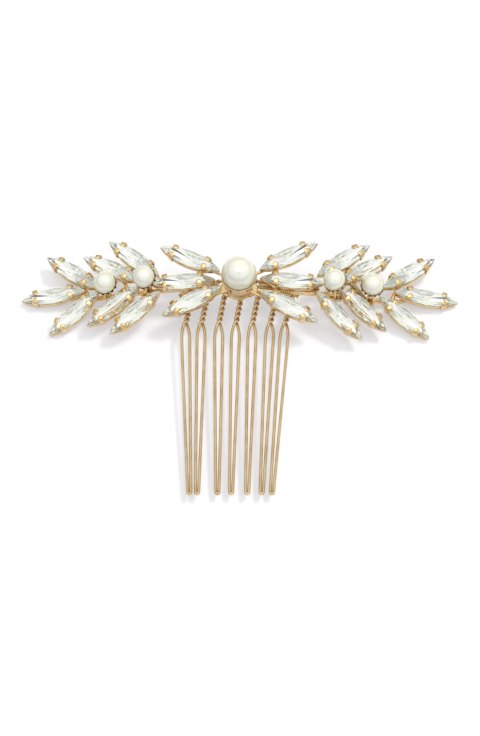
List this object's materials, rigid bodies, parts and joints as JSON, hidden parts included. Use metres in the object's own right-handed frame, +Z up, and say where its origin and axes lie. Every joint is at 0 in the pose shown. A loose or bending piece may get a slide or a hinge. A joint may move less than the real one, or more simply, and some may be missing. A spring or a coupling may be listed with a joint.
{
  "type": "decorative hair comb",
  "caption": "Decorative hair comb: a bowed spray of boat-shaped glass stones in claw settings with pearls, on a row of looped wire teeth.",
  "frame": {"origin": "middle of the bounding box, on the surface the comb lies on", "axes": "+X along the ornament, the teeth point to -Y, +Z up out of the front, towards the pearls"},
  "size_m": [0.1066, 0.0656, 0.0196],
  "materials": {
    "gold_setting": "polished pale gold plate",
    "gold_wire": "polished pale gold plate, drawn wire",
    "glass_stone": "clear faceted glass with a silver foil back",
    "pearl": "cream imitation pearl, soft lustre"
  },
  "bodies": {
    "root": {"setting_left_upper": "gold_setting", "stone_left_upper": "glass_stone", "setting_left_middle": "gold_setting", "stone_left_middle": "glass_stone", "setting_left_lower": "gold_setting", "stone_left_lower": "glass_stone", "setting_right_upper": "gold_setting", "stone_right_upper": "glass_stone", "setting_right_middle": "gold_setting", "stone_right_middle": "glass_stone", "setting_right_lower": "gold_setting", "stone_right_lower": "glass_stone", "setting_left_leaf_1": "gold_setting", "stone_left_leaf_1": "glass_stone", "setting_left_leaf_2": "gold_setting", "stone_left_leaf_2": "glass_stone", "setting_left_leaf_3": "gold_setting", "stone_left_leaf_3": "glass_stone", "setting_left_leaf_4": "gold_setting", "stone_left_leaf_4": "glass_stone", "setting_left_leaf_5": "gold_setting", "stone_left_leaf_5": "glass_stone", "setting_left_leaf_6": "gold_setting", "stone_left_leaf_6": "glass_stone", "setting_left_leaf_7": "gold_setting", "stone_left_leaf_7": "glass_stone", "setting_right_leaf_1": "gold_setting", "stone_right_leaf_1": "glass_stone", "setting_right_leaf_2": "gold_setting", "stone_right_leaf_2": "glass_stone", "setting_right_leaf_3": "gold_setting", "stone_right_leaf_3": "glass_stone", "setting_right_leaf_4": "gold_setting", "stone_right_leaf_4": "glass_stone", "setting_right_leaf_5": "gold_setting", "stone_right_leaf_5": "glass_stone", "setting_right_leaf_6": "gold_setting", "stone_right_leaf_6": "glass_stone", "setting_right_leaf_7": "gold_setting", "stone_right_leaf_7": "glass_stone", "pearl_centre": "pearl", "pearl_left_inner": "pearl", "pearl_left_outer": "pearl", "pearl_right_inner": "pearl", "pearl_right_outer": "pearl", "centre_cup": "gold_setting", "small_pearl_cups": "gold_setting", "centre_plate": "gold_wire", "branch_left": "gold_wire", "branch_right": "gold_wire", "lashing_left": "gold_wire", "lashing_right": "gold_wire", "rail": "gold_wire", "tine_1": "gold_wire", "tine_2": "gold_wire", "tine_3": "gold_wire", "tine_4": "gold_wire", "tine_5": "gold_wire", "tine_6": "gold_wire", "tine_7": "gold_wire"}
  },
  "joints": []
}
